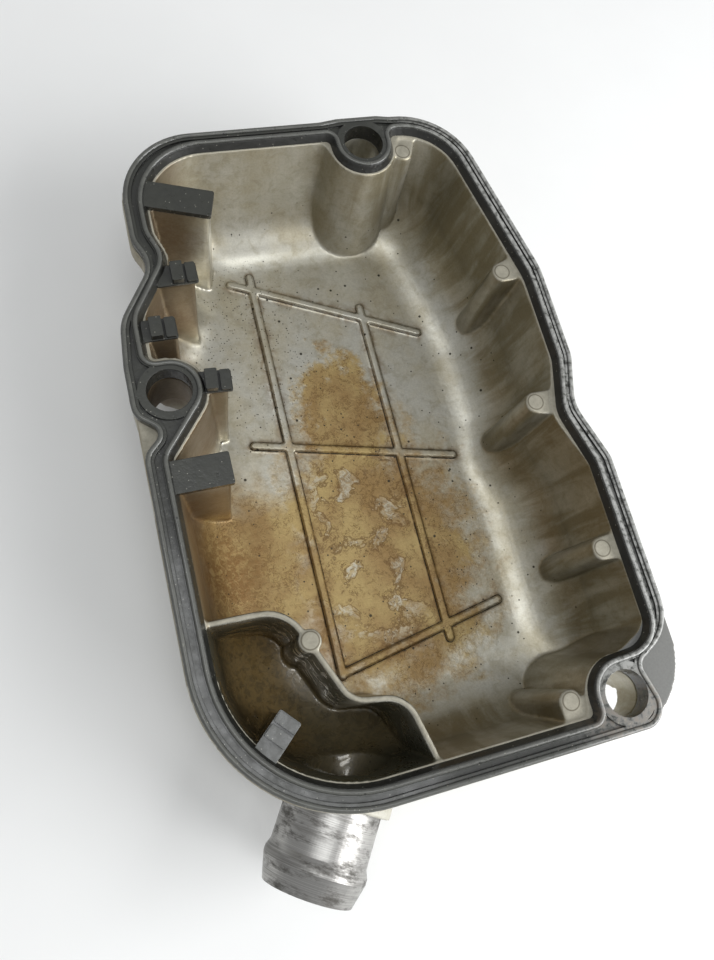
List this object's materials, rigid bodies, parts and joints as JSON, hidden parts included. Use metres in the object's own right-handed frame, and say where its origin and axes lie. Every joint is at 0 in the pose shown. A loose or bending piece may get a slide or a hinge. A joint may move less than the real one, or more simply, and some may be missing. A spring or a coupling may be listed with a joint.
{
  "type": "engine breather cover",
  "caption": "Deep die-cast pan with ribbed floor, bolt bosses, a partitioned corner with a side hose outlet, and a push-on rim gasket.",
  "frame": {"origin": "centre of the pan's flat resting face, on its underside", "axes": "+Z out of the open side, +Y along the pan towards the end with one bolt boss and no outlet, +X towards the straight run of small posts"},
  "size_m": [0.192, 0.3243, 0.0676],
  "materials": {
    "cast_aluminium": "as-cast, satin, stained with oil",
    "outlet_metal": "satin bare metal with fine scratches",
    "gasket_plastic": "black nylon, oily",
    "seal_rubber": "charcoal rubber, semi-gloss with oil"
  },
  "bodies": {
    "root": {"housing_casting": "cast_aluminium", "outlet_spigot": "outlet_metal", "gasket_carrier": "gasket_plastic", "outer_seal_bead": "seal_rubber", "inner_seal_bead": "seal_rubber", "casting_side_seal": "seal_rubber"}
  },
  "joints": []
}
